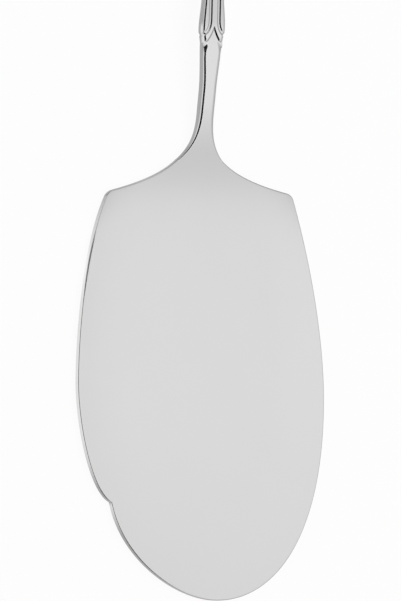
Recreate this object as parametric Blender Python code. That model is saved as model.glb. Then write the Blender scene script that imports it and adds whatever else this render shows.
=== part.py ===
"""Serving spoon with a broad notched blade and a hollow reeded handle.

The blade, its neck and the tang are one forging. Two struck half shells, front and back, close
round the tang, and a cement core beds it. Sizes are in metres. Stations run along +Y from the
blade's tip, +Z is up, and the blade's floor lies flat on the table.
"""

import math
from collections import namedtuple

import bmesh
import bpy
import numpy as np
from mathutils import Vector
from mathutils.geometry import interpolate_bezier

# Blade outline, seen from above
BLADE_WIDTH = 0.0765
BLADE_LENGTH = 0.11475
SHOULDER_RIGHT = 0.0286
SHOULDER_LEFT = 0.0288
SHOULDER_SETBACK = 0.0017
DROOP_RIGHT = math.radians(12.8)
DROOP_LEFT = math.radians(14.6)
SPLAY_RIGHT = math.radians(16.2)
SPLAY_LEFT = math.radians(22.5)
TIP_OFFSET = 0.0048
WIDEST_RIGHT = 0.05715
WIDEST_LEFT = 0.06115
NOTCH_INSET = 0.0104
NOTCH_HEIGHT = 0.02745
NOTCH_HOOK = math.radians(28.5)
LOBE_LEAN = math.radians(12.0)

# Blade section: a flat floor whose margin rises gently to a rounded edge
BLADE_THICKNESS = 0.0020
BLADE_EDGE = 0.0004
DISH_RISE = 0.0009
DISH_FADE = 0.0114

# Neck
FLARE_LENGTH = 0.0254
NECK_LENGTH = 0.0416
NECK_WIDTH = 0.00465
NECK_THICKNESS = 0.0034
NECK_CORNER = 0.00085
MOUTH_WIDTH = 0.0063
MOUTH_THICKNESS = 0.0028
BEND_SETBACK = 0.0089
BEND_LENGTH = 0.0060
BEND_RISE = 0.0019
BEND_SLOPE = 0.33

# Handle, outside
HANDLE_LENGTH = 0.10865
TONGUE_LENGTH = 0.0044
KNOP_SETBACK = 0.0044
LAPPET_SIDE_WALL = 0.0004
LAPPET_FACE_WALL = 0.00035
WAIST_SETBACK = 0.0138
WAIST_WIDTH = 0.0065
WAIST_THICKNESS = 0.0037
BROAD_WIDTH = 0.0164
BROAD_THICKNESS = 0.0075
END_DOME = 0.0200
HANDLE_CROWN = 0.0011
PEAK_SETBACK = 0.0408
PEAK_HEIGHT = 0.0109
TABLE_GAP = 0.0002
GROOVE_DEPTH = 0.0003
GROOVE_WIDTH = 0.0008
GROOVE_INSET = 0.00065
GROOVE_FADE = 0.0050

# Handle, inside
SHELL_WALL = 0.0005
TANG_CLEARANCE = 0.00025
TANG_GRIP = 0.0250
FILLER_CLEARANCE = 0.0002
FILLER_WALL = 0.0005
SEAM_GAP = 0.0002

# Roundness of the outline's curves, as shares of each curve's own reach
TIP_FULLNESS_RIGHT = 0.545
TIP_FULLNESS_LEFT = 0.35
LOBE_FULLNESS_RIGHT = 0.67
LOBE_FULLNESS_LEFT = 0.62
HOOK_FULLNESS = 0.228
BELLY_FULLNESS = 0.31
SIDE_FULLNESS_RIGHT = (0.33, 0.27)
SIDE_FULLNESS_LEFT = (0.18, 0.35)
CORNER_FULLNESS = 0.60
FLARE_FULLNESS_RIGHT = (0.96, 0.48)
FLARE_FULLNESS_LEFT = (1.09, 0.36)

# Share of the way from the blade's middle to its edge where the margin starts to rise
DISH_START = 0.60

# Roundness of the handle's corners, as a share of its half thickness
HANDLE_CORNER_SHARE = 0.75

# Finishes: linear colours and roughness
SILVER = (0.83, 0.83, 0.82)
CEMENT = (0.36, 0.27, 0.18)
BLADE_ROUGHNESS = 0.12
HANDLE_ROUGHNESS = 0.14
CEMENT_ROUGHNESS = 0.85

# Mesh fineness: points on a curve, steps round a section, then steps from station to station
CURVE_POINTS = 80
CORNER_STEPS = 4
EDGE_STEPS = 2
FLOOR_SHARES = (0.07, 0.14, 0.22, 0.36, 0.5, 0.64, 0.78, 0.86, 0.93)
LOBE_STEPS = 11
HOOK_STEPS = 5
HOOK_SHARE = 0.25
SIDE_STEPS = 12
SHOULDER_STEPS = 7
FLARE_STEPS = 12
NECK_STEPS = 5
TONGUE_STEPS = 2
TANG_STEPS = 9
BED_STEPS = 5
LAPPET_STEPS = 8
GRIP_STEPS = 14
CORE_STEPS = 9
DOME_STEPS = 6
END_CROWDING = 2.0
FLARE_CROWDING = 1.3
SHARP_ANGLE = math.radians(35.0)
MERGE_DISTANCE = 1e-7

# Stations along the spoon
NECK_Y = BLADE_LENGTH + FLARE_LENGTH
MOUTH_Y = BLADE_LENGTH + NECK_LENGTH
KNOP_Y = MOUTH_Y + KNOP_SETBACK
TONGUE_Y = MOUTH_Y + TONGUE_LENGTH
WAIST_Y = MOUTH_Y + WAIST_SETBACK
END_Y = MOUTH_Y + HANDLE_LENGTH
BROAD_Y = END_Y - END_DOME
BEND_Y = BLADE_LENGTH + BEND_SETBACK
KNEE_Y = BEND_Y + BEND_LENGTH
PEAK_Y = MOUTH_Y + PEAK_SETBACK
BOWL_Y = (WIDEST_RIGHT + WIDEST_LEFT) / 2
CAVITY_INSET = SHELL_WALL + GROOVE_DEPTH

Section = namedtuple("Section", "half_width half_thickness radius crown")
Side = namedtuple("Side", "hand shoulder droop splay widest side_fullness flare_fullness")

RIGHT = Side(1.0, SHOULDER_RIGHT, DROOP_RIGHT, SPLAY_RIGHT, WIDEST_RIGHT,
             SIDE_FULLNESS_RIGHT, FLARE_FULLNESS_RIGHT)
LEFT = Side(-1.0, SHOULDER_LEFT, DROOP_LEFT, SPLAY_LEFT, WIDEST_LEFT,
            SIDE_FULLNESS_LEFT, FLARE_FULLNESS_LEFT)


def mix(a, b, t):
    """Go from a to b as t goes from 0 to 1."""
    return a + (b - a) * t


def ramp(y, start, end):
    """Rise smoothly from 0 at start to 1 at end."""
    t = min(max((y - start) / (end - start), 0.0), 1.0)
    return t * t * (3.0 - 2.0 * t)


def hermite(y, start, end):
    """Height at y on a cubic between two (station, height, slope) points."""
    span = end[0] - start[0]
    t = min(max((y - start[0]) / span, 0.0), 1.0)
    rise = t * t * (3.0 - 2.0 * t)
    leave = t * (1.0 - t) ** 2 * span * start[2]
    arrive = t * t * (t - 1.0) * span * end[2]
    return mix(start[1], end[1], rise) + leave + arrive


def dome(y):
    """Share of the handle's full section left at y, an ellipse's quarter over the end."""
    reach = min(max((y - BROAD_Y) / END_DOME, 0.0), 1.0)
    return math.sqrt(1.0 - reach * reach)


def handle_section(y):
    """Outside of the handle at station y, before the grooves."""
    knop_width = MOUTH_WIDTH / 2 + TANG_CLEARANCE + LAPPET_SIDE_WALL
    knop_thickness = MOUTH_THICKNESS / 2 + TANG_CLEARANCE + LAPPET_FACE_WALL
    to_waist = ramp(y, KNOP_Y, WAIST_Y)
    to_broad = ramp(y, WAIST_Y, BROAD_Y)
    slim_width = mix(knop_width, WAIST_WIDTH / 2, to_waist)
    slim_thickness = mix(knop_thickness, WAIST_THICKNESS / 2, to_waist)
    width = mix(slim_width, BROAD_WIDTH / 2, to_broad) * dome(y)
    thickness = mix(slim_thickness, BROAD_THICKNESS / 2, to_broad) * dome(y)
    crown = HANDLE_CROWN * to_broad * dome(y)
    return Section(width, thickness, HANDLE_CORNER_SHARE * (thickness - crown), crown)


def inset(section, depth):
    """Section that lies the given depth inside another."""
    radius = max(section.radius - depth, section.radius / 2)
    return Section(section.half_width - depth, section.half_thickness - depth, radius, section.crown)


def grown(section, clearance):
    """Section that lies the given clearance outside another."""
    return Section(section.half_width + clearance, section.half_thickness + clearance,
                   section.radius + clearance, section.crown)


def tang_section():
    """Tang that the waist of the handle leaves room for."""
    room = inset(handle_section(WAIST_Y), CAVITY_INSET + TANG_CLEARANCE)
    return Section(room.half_width, room.half_thickness, min(NECK_CORNER, room.half_thickness / 2), 0.0)


def neck_section(y):
    """Neck above the flare, and the tang that it becomes inside the handle."""
    tang = tang_section()
    to_mouth = ramp(y, NECK_Y, MOUTH_Y)
    to_tang = ramp(y, TONGUE_Y, WAIST_Y)
    width = mix(mix(NECK_WIDTH, MOUTH_WIDTH, to_mouth) / 2, tang.half_width, to_tang)
    thickness = mix(neck_thickness(y) / 2, tang.half_thickness, to_tang)
    return Section(width, thickness, mix(NECK_CORNER, tang.radius, to_tang), 0.0)


def neck_thickness(y):
    """Thickness of the forging from the blade up to the handle's mouth."""
    root = mix(BLADE_THICKNESS, NECK_THICKNESS, ramp(y, BEND_Y, NECK_Y))
    return mix(root, MOUTH_THICKNESS, ramp(y, NECK_Y, MOUTH_Y))


def cavity_section(y):
    """Inside of the shells: close to the neck up to the waist, then inside the wall."""
    if y <= WAIST_Y:
        return grown(neck_section(y), TANG_CLEARANCE)
    return inset(handle_section(y), CAVITY_INSET)


def end_height():
    """Height of the handle's end at which its underside just clears the table."""
    heights = []
    for y in np.linspace(BROAD_Y, END_Y, CURVE_POINTS):
        drop = ramp(y, PEAK_Y, END_Y)
        lowest = handle_section(y).half_thickness + TABLE_GAP
        heights.append((lowest - PEAK_HEIGHT * (1.0 - drop)) / drop)
    return max(heights)


END_HEIGHT = end_height()


def middle_height(y):
    """Height of the section's middle above the table at station y."""
    floor = (BEND_Y, BLADE_THICKNESS / 2, 0.0)
    knee = (KNEE_Y, BLADE_THICKNESS / 2 + BEND_RISE, BEND_SLOPE)
    peak = (PEAK_Y, PEAK_HEIGHT, 0.0)
    if y <= KNEE_Y:
        return hermite(y, floor, knee)
    if y <= PEAK_Y:
        return hermite(y, knee, peak)
    return hermite(y, peak, (END_Y, END_HEIGHT, 0.0))


def filler_start():
    """First station where the cavity is roomy enough for a filler wall round the tang."""
    need = tang_section().half_thickness + TANG_CLEARANCE + FILLER_WALL + FILLER_CLEARANCE
    stations = np.linspace(WAIST_Y, BROAD_Y, CURVE_POINTS)
    return next(y for y in stations if cavity_section(y).half_thickness >= need)


FILLER_Y = filler_start()
TANG_END_Y = FILLER_Y + TANG_GRIP


def heading(angle, length):
    """Step of the given length at an angle from +X."""
    return Vector((math.cos(angle), math.sin(angle))) * length


def trace(knots):
    """Points along a chain of curves; each knot is (point, handle before, handle after)."""
    points = []
    for (start, _, leave), (end, arrive, _) in zip(knots, knots[1:]):
        points += interpolate_bezier(start, leave, arrive, end, CURVE_POINTS)[:-1]
    return np.array(points + [knots[-1][0]])


def shoulder_knots(side, before):
    """Knots from a side's widest point round its shoulder and up the flare to the neck."""
    widest = Vector((side.hand * BLADE_WIDTH / 2, side.widest))
    corner = Vector((side.hand * side.shoulder, BLADE_LENGTH))
    down = Vector((side.hand * math.sin(side.splay), -math.cos(side.splay)))
    inward = Vector((-side.hand * math.cos(side.droop), math.sin(side.droop)))
    side_end = corner + down * SHOULDER_SETBACK
    flare_end = corner + inward * SHOULDER_SETBACK
    neck = Vector((side.hand * NECK_WIDTH / 2, NECK_Y))
    side_reach = side_end.y - widest.y
    flare_reach = neck.y - flare_end.y
    round_corner = SHOULDER_SETBACK * CORNER_FULLNESS
    low_side, high_side = (side_reach * share for share in side.side_fullness)
    low_flare, high_flare = (flare_reach * share for share in side.flare_fullness)
    return [
        (widest, widest - Vector((0.0, before)), widest + Vector((0.0, low_side))),
        (side_end, side_end + down * high_side, side_end - down * round_corner),
        (flare_end, flare_end - inward * round_corner, flare_end + inward * low_flare),
        (neck, neck - Vector((0.0, high_flare)), None),
    ]


def right_edge():
    """Right edge of the blade from the tip to the neck."""
    tip = Vector((TIP_OFFSET, 0.0))
    tip_reach = (BLADE_WIDTH / 2 - TIP_OFFSET) * TIP_FULLNESS_RIGHT
    knots = shoulder_knots(RIGHT, WIDEST_RIGHT * LOBE_FULLNESS_RIGHT)
    return trace([(tip, None, tip + Vector((tip_reach, 0.0)))] + knots)


def left_edge():
    """Left edge of the blade from the tip, past the notch, to the neck."""
    tip = Vector((TIP_OFFSET, 0.0))
    notch = Vector((NOTCH_INSET - BLADE_WIDTH / 2, NOTCH_HEIGHT))
    belly = WIDEST_LEFT - NOTCH_HEIGHT
    tip_handle = tip - Vector(((tip.x - notch.x) * TIP_FULLNESS_LEFT, 0.0))
    lobe_handle = notch + heading(LOBE_LEAN - math.pi / 2, NOTCH_HEIGHT * LOBE_FULLNESS_LEFT)
    hook_handle = notch + heading(math.pi - NOTCH_HOOK, belly * HOOK_FULLNESS)
    knots = shoulder_knots(LEFT, belly * BELLY_FULLNESS)
    return trace([(tip, None, tip_handle), (notch, lobe_handle, hook_handle)] + knots)


def inward_normals(edge, side):
    """Unit steps into the blade at each point of an edge that leaves the tip squarely."""
    along = np.gradient(edge, axis=0)
    along[0] = (side, 0.0)
    normals = np.column_stack((-along[:, 1], along[:, 0])) * side
    return normals / np.linalg.norm(normals, axis=1)[:, None]


def at_station(y, edge, values):
    """Value carried by an edge's points, read at station y."""
    return np.array([np.interp(y, edge[:, 1], values[:, axis]) for axis in range(2)])


def spread(start, end, count, power=1.0):
    """Stations after start up to end, crowded towards start by a power above 1."""
    return [mix(start, end, (step / count) ** power) for step in range(1, count + 1)]


def blade_stations():
    """Stations of the forging's sections, close together where the outline turns."""
    hook_end = mix(NOTCH_HEIGHT, WIDEST_LEFT, HOOK_SHARE)
    corner_start = BLADE_LENGTH - 2.0 * SHOULDER_SETBACK
    corner_end = BLADE_LENGTH + SHOULDER_SETBACK / 2
    stations = [0.0] + spread(0.0, NOTCH_HEIGHT, LOBE_STEPS, END_CROWDING)
    stations += spread(NOTCH_HEIGHT, hook_end, HOOK_STEPS, END_CROWDING)
    stations += spread(hook_end, corner_start, SIDE_STEPS)
    stations += spread(corner_start, corner_end, SHOULDER_STEPS)
    stations += spread(corner_end, NECK_Y, FLARE_STEPS, FLARE_CROWDING)
    stations += spread(NECK_Y, MOUTH_Y, NECK_STEPS)
    stations += spread(MOUTH_Y, TONGUE_Y, TONGUE_STEPS)
    stations += spread(TONGUE_Y, FILLER_Y, TANG_STEPS)
    return stations + spread(FILLER_Y, TANG_END_Y, BED_STEPS)


def dish_lift(x, y):
    """How far the margin stands above the blade's floor at a point."""
    up = min(max((y - BOWL_Y) / (BLADE_LENGTH - BOWL_Y), 0.0), 1.0)
    down = max((BOWL_Y - y) / BOWL_Y, 0.0)
    half_width = mix(BLADE_WIDTH, SHOULDER_RIGHT + SHOULDER_LEFT, up * up) / 2
    margin = max(math.hypot(x / half_width, down) - DISH_START, 0.0) / (1.0 - DISH_START)
    fade = 1.0 - ramp(y, BLADE_LENGTH - SHOULDER_SETBACK, BLADE_LENGTH + DISH_FADE)
    return DISH_RISE * margin ** 2 * fade


def rim(edge, inward, radius, half_thickness):
    """Points of one edge from its lower to its upper side, as (x, y, height from the middle)."""
    upper = []
    for step in range(EDGE_STEPS + 1):
        angle = math.pi / 2 * step / EDGE_STEPS
        place = edge + inward * radius * (1.0 - math.cos(angle))
        upper.append((place[0], place[1], half_thickness - radius + radius * math.sin(angle)))
    lower = [(x, y, -height) for x, y, height in reversed(upper)]
    return lower + upper


def across(start, end):
    """Points between two points of the section's flat side."""
    return [tuple(mix(a, b, share) for a, b in zip(start, end)) for share in FLOOR_SHARES]


def blade_ring(y, edges):
    """Closed section of the forging at a station, anticlockwise seen from the handle."""
    if y <= NECK_Y:
        ends = [at_station(y, edge, edge) for edge, _ in edges]
        inwards = [at_station(y, edge, normals) for edge, normals in edges]
        half_thickness = neck_thickness(y) / 2
        radius = mix(BLADE_EDGE, NECK_CORNER, ramp(y, BLADE_LENGTH, NECK_Y))
    else:
        section = neck_section(y)
        ends = [np.array((side * section.half_width, y)) for side in (1.0, -1.0)]
        inwards = [np.array((-side, 0.0)) for side in (1.0, -1.0)]
        half_thickness = section.half_thickness
        radius = section.radius
    right = rim(ends[0], inwards[0] / np.linalg.norm(inwards[0]), radius, half_thickness)
    left = rim(ends[1], inwards[1] / np.linalg.norm(inwards[1]), radius, half_thickness)[::-1]
    ring = right + across(right[-1], left[0]) + left + across(left[-1], right[0])
    return [(x, station, middle_height(station) + height + dish_lift(x, station))
            for x, station, height in ring]


def face_stops(flat):
    """Places across a flat face from right to left, with the groove's share of its depth at each."""
    half = min(GROOVE_WIDTH / 2, flat / 5)
    middle = flat - min(GROOVE_INSET, flat / 2)
    right = [(middle + half, 0.0), (middle, 1.0), (middle - half, 0.0)]
    return right + [(0.0, 0.0)] + [(-place, share) for place, share in reversed(right)]


def half_section(section, groove=0.0):
    """Upper half of a rounded section from its right to its left side, as (x, height)."""
    shoulder = section.half_thickness - section.crown
    radius = min(section.radius, shoulder, section.half_width)
    flat = section.half_width - radius
    right = [(section.half_width, 0.0)]
    for step in range(CORNER_STEPS + 1):
        angle = math.pi / 2 * step / CORNER_STEPS
        right.append((flat + radius * math.cos(angle), shoulder - radius + radius * math.sin(angle)))
    face = [(place, shoulder - groove * share) for place, share in face_stops(flat)]
    points = right + face + [(-x, height) for x, height in reversed(right)]
    if section.half_width <= 0.0 or shoulder <= 0.0:
        return points
    return [(x, height + section.crown * (1.0 - (x / section.half_width) ** 2) * height / shoulder)
            for x, height in points]


def section_angle(point, section):
    """Direction of a section's point, from 0 at its right side to a right angle mid-face."""
    return math.atan2(point[1] / section.half_thickness, point[0] / section.half_width)


def groove_depth(y):
    """Depth of the grooves beside the handle's rib, which run out at the lappets and the end."""
    begun = ramp(y, TONGUE_Y, TONGUE_Y + GROOVE_FADE)
    ended = ramp(y, BROAD_Y - GROOVE_FADE, BROAD_Y + GROOVE_FADE)
    return GROOVE_DEPTH * begun * (1.0 - ended)


def mouth_step(angle):
    """Share of the tongue's length by which the mouth's edge stands back between the lappets."""
    return 1.0 - abs(math.sin(2.0 * angle))


def handle_stations():
    """Stations of the shells' sections from the mouth to the last one before the end."""
    stations = [MOUTH_Y] + spread(MOUTH_Y, WAIST_Y, LAPPET_STEPS)
    return stations + spread(WAIST_Y, BROAD_Y, GRIP_STEPS) + dome_stations(END_DOME)


def dome_stations(reach):
    """Stations over a rounded end of the given reach, without the end itself."""
    return [BROAD_Y + reach * math.sin(math.pi / 2 * step / DOME_STEPS) for step in range(1, DOME_STEPS)]


def shell_ring(station, face):
    """C-shaped section of a half shell: the outside from right to left, then the inside back."""
    knop = handle_section(KNOP_Y)
    angles = [section_angle(point, knop) for point in half_section(knop)]
    skew = TONGUE_LENGTH * (1.0 - ramp(station, MOUTH_Y, WAIST_Y))
    inside_share = (END_DOME - CAVITY_INSET) / END_DOME
    outside = []
    inside = []
    for index, angle in enumerate(angles):
        y = station + skew * mouth_step(angle)
        x, height = half_section(handle_section(y), groove_depth(y))[index]
        outside.append(seamed(x, y, height, face))
        inner_y = y if y <= BROAD_Y else mix(BROAD_Y, y, inside_share)
        x, height = half_section(inset_dome(y))[index]
        inside.append(seamed(x, inner_y, height, face))
    return outside + inside[::-1]


def inset_dome(y):
    """Inside of the shells, drawn in with the dome at the handle's end."""
    if y <= BROAD_Y:
        return cavity_section(y)
    full = cavity_section(BROAD_Y)
    return Section(*(size * dome(y) for size in full))


def seamed(x, y, height, face):
    """Place a section's point on the front (+1) or back (-1) half, off the seam's middle."""
    return x, y, middle_height(y) + face * (height + SEAM_GAP / 2)


def shell_end(face):
    """The shell's last section, drawn together to its outer and inner end points."""
    count = len(half_section(handle_section(KNOP_Y)))
    outer = seamed(0.0, END_Y, 0.0, face)
    inner = seamed(0.0, END_Y - CAVITY_INSET, 0.0, face)
    return [outer] * count + [inner] * count


def full_ring(section, y):
    """Closed section round the handle's middle line."""
    upper = half_section(section)
    lower = [(x, -height) for x, height in reversed(upper[1:-1])]
    return [(x, y, middle_height(y) + height) for x, height in upper + lower]


def filler_rings():
    """Sections of the core from the bottom of its tang hole, over its face and on to its end."""
    hole = grown(tang_section(), TANG_CLEARANCE)
    depth = TANG_END_Y + TANG_CLEARANCE
    bed = [FILLER_Y] + spread(FILLER_Y, TANG_END_Y, BED_STEPS) + [depth]
    rings = [full_ring(hole, y) for y in reversed(bed)]
    for y in [FILLER_Y] + spread(FILLER_Y, BROAD_Y, CORE_STEPS):
        rings.append(full_ring(inset(cavity_section(y), FILLER_CLEARANCE), y))
    core = inset(cavity_section(BROAD_Y), FILLER_CLEARANCE)
    reach = END_DOME - CAVITY_INSET - FILLER_CLEARANCE
    for y in dome_stations(reach):
        left = math.sqrt(1.0 - ((y - BROAD_Y) / reach) ** 2)
        rings.append(full_ring(Section(*(size * left for size in core)), y))
    end = (0.0, BROAD_Y + reach, middle_height(BROAD_Y + reach))
    return rings + [[end] * len(rings[-1])]


def loft(mesh, rings):
    """Skin a row of closed sections with faces, and return the rows of points."""
    rows = [[mesh.verts.new(point) for point in ring] for ring in rings]
    for low, high in zip(rows, rows[1:]):
        for index in range(len(low)):
            following = (index + 1) % len(low)
            mesh.faces.new((low[index], low[following], high[following], high[index]))
    return rows


def blade():
    """Blade, shoulders, neck and tang, closed at the tang's end."""
    edges = []
    for edge, side in ((right_edge(), 1.0), (left_edge(), -1.0)):
        edges.append((edge, inward_normals(edge, side)))
    mesh = bmesh.new()
    rows = loft(mesh, [blade_ring(y, edges) for y in blade_stations()])
    mesh.faces.new(rows[-1])
    return finished("blade", mesh)


def half_shell(name, face):
    """One struck half of the handle, closed across its wall at the mouth and the seam."""
    mesh = bmesh.new()
    mouth = loft(mesh, [shell_ring(y, face) for y in handle_stations()] + [shell_end(face)])[0]
    outside = mouth[:len(mouth) // 2]
    inside = mouth[:len(mouth) // 2 - 1:-1]
    for index in range(len(outside) - 1):
        following = index + 1
        mesh.faces.new((outside[index], outside[following], inside[following], inside[index]))
    return finished(name, mesh)


def filler():
    """Cement core, closed at the bottom of its tang hole."""
    mesh = bmesh.new()
    rows = loft(mesh, filler_rings())
    mesh.faces.new(rows[0])
    return finished("handle_filler", mesh)


def finished(name, mesh):
    """Turn a sketch mesh into a closed object with its faces pointing out."""
    bmesh.ops.remove_doubles(mesh, verts=mesh.verts, dist=MERGE_DISTANCE)
    bmesh.ops.dissolve_degenerate(mesh, edges=mesh.edges, dist=MERGE_DISTANCE)
    bmesh.ops.recalc_face_normals(mesh, faces=mesh.faces)
    data = bpy.data.meshes.new(name)
    mesh.to_mesh(data)
    mesh.free()
    data.shade_smooth()
    data.set_sharp_from_angle(angle=SHARP_ANGLE)
    piece = bpy.data.objects.new(name, data)
    bpy.context.scene.collection.objects.link(piece)
    return piece


def material(name, colour, metallic, roughness):
    """Plain Principled finish."""
    finish = bpy.data.materials.new(name)
    finish.use_nodes = True
    shader = finish.node_tree.nodes["Principled BSDF"]
    shader.inputs["Base Color"].default_value = (*colour, 1.0)
    shader.inputs["Metallic"].default_value = metallic
    shader.inputs["Roughness"].default_value = roughness
    return finish


def main():
    """Build the spoon, centred on its length."""
    for old in list(bpy.data.objects):
        bpy.data.objects.remove(old)
    spoon = bpy.data.objects.new("serving_spoon", None)
    bpy.context.scene.collection.objects.link(spoon)
    spoon.location = (0.0, -END_Y / 2, 0.0)
    pieces = [
        (blade(), material("blade_silver", SILVER, 1.0, BLADE_ROUGHNESS)),
        (half_shell("handle_front_shell", 1.0), material("front_silver", SILVER, 1.0, HANDLE_ROUGHNESS)),
        (half_shell("handle_back_shell", -1.0), material("back_silver", SILVER, 1.0, HANDLE_ROUGHNESS)),
        (filler(), material("cement", CEMENT, 0.0, CEMENT_ROUGHNESS)),
    ]
    for piece, finish in pieces:
        piece.parent = spoon
        piece.data.materials.append(finish)


main()
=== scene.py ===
"""Rice serving spoon: its finished surfaces round the packed frame, laid out as a Blender add-on.

The forging of blade, neck and tang and the two struck half shells of the handle are fine meshes
that stand for the frame's solids. The cement core keeps its solid. Sizes are in metres, stations
run along +Y from the blade's tip, and the blade's floor lies on the table at height 0.
"""
import math
from collections import namedtuple

import bmesh
import bpy
import numpy as np
from bpy.props import FloatProperty, FloatVectorProperty, PointerProperty
from mathutils import Matrix, Vector
from mathutils.geometry import interpolate_bezier


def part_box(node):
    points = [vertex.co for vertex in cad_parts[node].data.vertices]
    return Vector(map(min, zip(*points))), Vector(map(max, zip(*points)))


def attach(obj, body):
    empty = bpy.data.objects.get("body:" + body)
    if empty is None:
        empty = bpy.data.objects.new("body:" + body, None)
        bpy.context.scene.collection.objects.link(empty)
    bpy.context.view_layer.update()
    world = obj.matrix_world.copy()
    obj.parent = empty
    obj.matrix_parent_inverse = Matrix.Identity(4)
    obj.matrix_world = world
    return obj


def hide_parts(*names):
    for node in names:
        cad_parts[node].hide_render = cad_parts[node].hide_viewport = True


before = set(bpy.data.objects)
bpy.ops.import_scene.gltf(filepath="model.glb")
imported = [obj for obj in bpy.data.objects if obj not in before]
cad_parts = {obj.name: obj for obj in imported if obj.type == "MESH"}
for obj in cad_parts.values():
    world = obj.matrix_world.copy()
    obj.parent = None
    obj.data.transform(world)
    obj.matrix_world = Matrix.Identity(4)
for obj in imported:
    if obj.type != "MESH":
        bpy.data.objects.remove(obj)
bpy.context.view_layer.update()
TIP_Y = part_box("blade")[0][1]
TANG_END_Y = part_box("blade")[1][1] - TIP_Y

bl_info = {
    "name": "Rice Serving Spoon",
    "version": (1, 0, 0),
    "blender": (4, 5, 0),
    "location": "View3D > Sidebar > Spoon",
    "description": "Builds a silver serving spoon with a notched blade and a hollow reeded handle",
    "category": "Add Mesh",
}

Section = namedtuple("Section", "half_width half_thickness reach drop crown")
Half = namedtuple("Half", "x height step_x step_height path side_path flat side")
Side = namedtuple("Side", "hand shoulder droop splay widest side_fullness flare_fullness")
Polish = namedtuple("Polish", "angle stretch scratches")

# Roundness of the outline's curves, as shares of each curve's own reach, the right side's first
TIP_FULLNESS = (0.545, 0.35)
LOBE_FULLNESS = (0.67, 0.62)
HOOK_FULLNESS = 0.228
BELLY_FULLNESS = 0.31
SIDE_FULLNESS = ((0.33, 0.27), (0.07, 0.385))
CORNER_FULLNESS = 0.60
FLARE_FULLNESS = ((0.96, 0.48), (1.09, 0.36))

# Mesh fineness: points on a curve, and steps round and along the pieces
CURVE_POINTS = 240
EDGE_STEPS = 28
FLOOR_STEPS = 44
LOBE_STEPS = 60
HOOK_STEPS = 26
SIDE_STEPS = 40
SHOULDER_STEPS = 24
ROOT_STEPS = 40
FLARE_STEPS = 40
NECK_STEPS = 40
STOP_STEPS = 44
TONGUE_STEPS = 24
TANG_STEPS = 16
SHELL_SIDE_STEPS = 6
SHELL_CORNER_STEPS = 16
SHELL_FACE_STEPS = 44
LAPPET_STEPS = 116
GRIP_STEPS = 90
DOME_STEPS = 36
CARD_STEPS = 25

# Where the close stations past the notch end on the way to the belly, how stations crowd towards a
# start, and the rounds that settle the lappets' edge
HOOK_SHARE = 0.25
END_CROWDING = 2.0
MOUTH_ROUNDS = 6

# Points closer than this merge, edges bent more than this stay crisp, and divisors stay above this
MERGE_DISTANCE = 1e-7
SHARP_ANGLE = math.radians(18.0)
TINY = 1e-9

# Side walls' satin and painted shade: how much they get along the sides and where they face along
# the spoon, how far they face so, as a sine, and the angles up a rounded corner over which each ends
SIDE_SATIN_AND_SHADE = 0.30
END_SATIN_AND_SHADE = 1.2
END_FACING = (0.15, 0.60)
WALL_ANGLES = (math.radians(12.0), math.radians(35.0))
END_ANGLES = (math.radians(25.0), math.radians(60.0))

# Share of its satin and painted shade that the front shell's wall loses on the lappets and the reeds'
# tips, and the painted shade on the lappets' lips next to the tarnish on a groove's flank
TIP_SATIN_AND_SHADE_LOSS = 0.55
LIP_PAINTED_SHADE = 5.0

# Silver: scale and detail of its clouding, its polishing lines and those that cross them, how far
# clouds and scratches roughen it, the relief of crossing lines and scratches next to the lines',
# and its bump's strength and depth
CLOUD_NOISE = (55.0, 3.0)
LINES = Polish(math.radians(6.0), (2600.0, 60.0, 2600.0), (0.60, 0.72))
CROSSING = Polish(math.radians(-31.0), (2200.0, 45.0, 2200.0), (0.66, 0.76))
CLOUD_ROUGHNESS = 0.03
SCRATCH_ROUGHNESS = 0.4
CROSSING_RELIEF = 0.6
SCRATCH_RELIEF = 0.3
SILVER_BUMP = (0.03, 0.00002)

# Cement: scale and detail of its grains and patches, where a grain shows, the grains' share of the
# dark, how far they roughen it, and its bump's strength and depth
GRAIN_NOISE = (2400.0, 4.0)
PATCH_NOISE = (160.0, 2.0)
GRAIN_LIMITS = (0.52, 0.66)
GRAIN_SHARE = 0.7
GRAIN_ROUGHNESS = 0.1
CEMENT_BUMP = (0.5, 0.0002)

# White light, and the middle of a noise's range
WHITE = (1.0, 1.0, 1.0)
NOISE_MIDDLE = 0.5

# Table and card: scale and detail of the mottle and of the felt, their shades and the table's
# roughness
MOTTLE_NOISE = (3.0, 2.0)
MOTTLE_SHADE = 0.985
TABLE_ROUGHNESS = 0.9
FELT_NOISE = (40.0, 2.0)
FELT_DARK = (0.012, 0.012, 0.012)
FELT_LIGHT = (0.02, 0.02, 0.02)
FELT_PALE = (0.85, 0.85, 0.85)

# Light tent: where its brightness rises, as a cosine, and by what power; then where its left side
# and the strip's near and far edges come in, by the way's part across, and its ends, by the square
# of its part along
TENT_RISE = (0.3, 1.0)
TENT_POWER = 1.3
LEFT_LIMITS = (0.5, 0.8)
END_LIMITS = (0.72, 0.94)
STRIP_NEAR = (0.0, 0.03)
STRIP_FAR = (0.09, 0.15)

# Camera's sensor in millimetres, how far it sees, and the table's place under the blade's floor
SENSOR = 36.0
CLIP_END = 100.0
TABLE_DROP = 0.00005


# Sizes, colours and levels that the panel offers

def size(name, metres, note):
    """A length in metres."""
    return FloatProperty(name=name, description=note, default=metres, precision=5, unit="LENGTH")


def pair(name, metres, note):
    """Two lengths in metres."""
    return FloatVectorProperty(name=name, description=note, default=metres, size=2, precision=5,
                               unit="LENGTH")


def turn(name, degrees, note):
    """An angle, given in degrees."""
    return FloatProperty(name=name, description=note, default=math.radians(degrees), subtype="ANGLE")


def turns(name, degrees, note):
    """Two angles, given in degrees."""
    angles = [math.radians(angle) for angle in degrees]
    return FloatVectorProperty(name=name, description=note, default=angles, size=2, unit="ROTATION")


def share(name, value, note):
    """A plain number, mostly between 0 and 1."""
    return FloatProperty(name=name, description=note, default=value, precision=3, subtype="FACTOR")


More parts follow.
